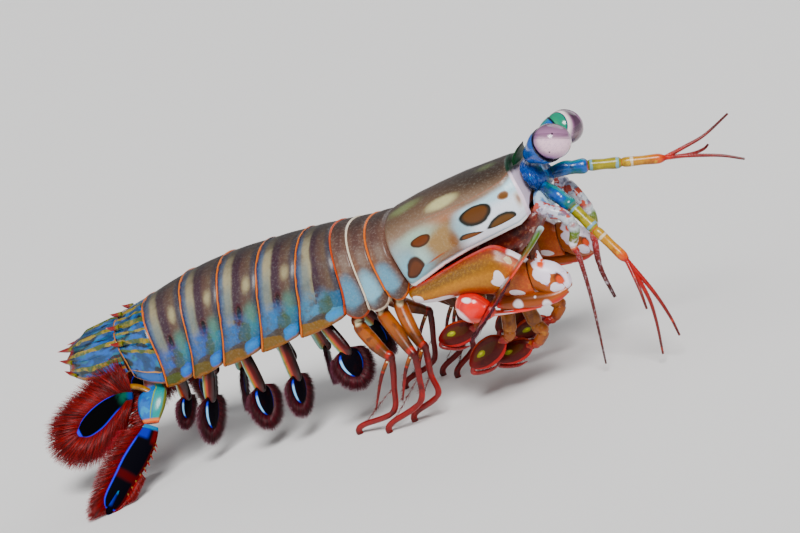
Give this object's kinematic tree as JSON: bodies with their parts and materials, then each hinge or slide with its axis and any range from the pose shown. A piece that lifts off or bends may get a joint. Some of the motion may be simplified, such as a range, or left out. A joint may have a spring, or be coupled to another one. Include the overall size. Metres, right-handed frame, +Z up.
{
  "type": "mantis shrimp",
  "caption": "Life-size mantis shrimp standing on its legs and tail fan, with stalked eyes, folded clubs, feelers, ringed body and fringed paddles.",
  "frame": {"origin": "middle of the footprint of the whole model, on the floor", "axes": "+X towards the head, along the body; +Y to the animal's left; +Z up"},
  "size_m": [0.2019, 0.0812, 0.066],
  "materials": {
    "tergite": "banded shell, semi-gloss",
    "carapace": "spotted shell, semi-gloss",
    "tail": "ridged blue shell, semi-gloss",
    "claw": "smooth shell, glossy",
    "club": "hard smooth shell, glossy",
    "limb": "thin shell, semi-gloss",
    "paddle": "thin plate with bristles, satin",
    "feeler": "thin shell, semi-gloss",
    "speckled": "speckled shell, semi-gloss",
    "head": "blue shell, semi-gloss",
    "eye": "smooth cornea, glossy",
    "underside": "soft skin, satin"
  },
  "bodies": {
    "root": {"abdomen_1": "tergite", "abdomen_2": "tergite", "abdomen_3": "tergite", "abdomen_4": "tergite", "abdomen_5": "tergite", "abdomen_6": "tail", "antenna_left": "speckled", "antenna_right": "speckled", "antennal_scale_left": "speckled", "antennal_scale_right": "speckled", "antennule_left": "feeler", "antennule_right": "feeler", "carapace": "carapace", "eye_left": "eye", "eye_right": "eye", "eye_stalk_left": "head", "eye_stalk_right": "head", "head": "head", "leg_1_left": "limb", "leg_1_right": "limb", "leg_2_left": "limb", "leg_2_right": "limb", "leg_3_left": "limb", "leg_3_right": "limb", "maxilliped_3_left": "limb", "maxilliped_3_right": "limb", "maxilliped_4_left": "limb", "maxilliped_4_right": "limb", "maxilliped_5_left": "limb", "maxilliped_5_right": "limb", "pleopod_1_left": "paddle", "pleopod_1_right": "paddle", "pleopod_2_left": "paddle", "pleopod_2_right": "paddle", "pleopod_3_left": "paddle", "pleopod_3_right": "paddle", "pleopod_4_left": "paddle", "pleopod_4_right": "paddle", "pleopod_5_left": "paddle", "pleopod_5_right": "paddle", "raptorial_arm_left": "claw", "raptorial_arm_right": "claw", "raptorial_club_left": "club", "raptorial_club_right": "club", "raptorial_hand_left": "claw", "raptorial_hand_right": "claw", "rostral_plate": "head", "telson": "tail", "thorax_6": "tergite", "thorax_7": "tergite", "thorax_8": "tergite", "thorax_underside": "underside", "uropod_inner_left": "paddle", "uropod_inner_right": "paddle", "uropod_outer_left": "paddle", "uropod_outer_right": "paddle", "uropod_stem_left": "tail", "uropod_stem_right": "tail"}
  },
  "joints": []
}
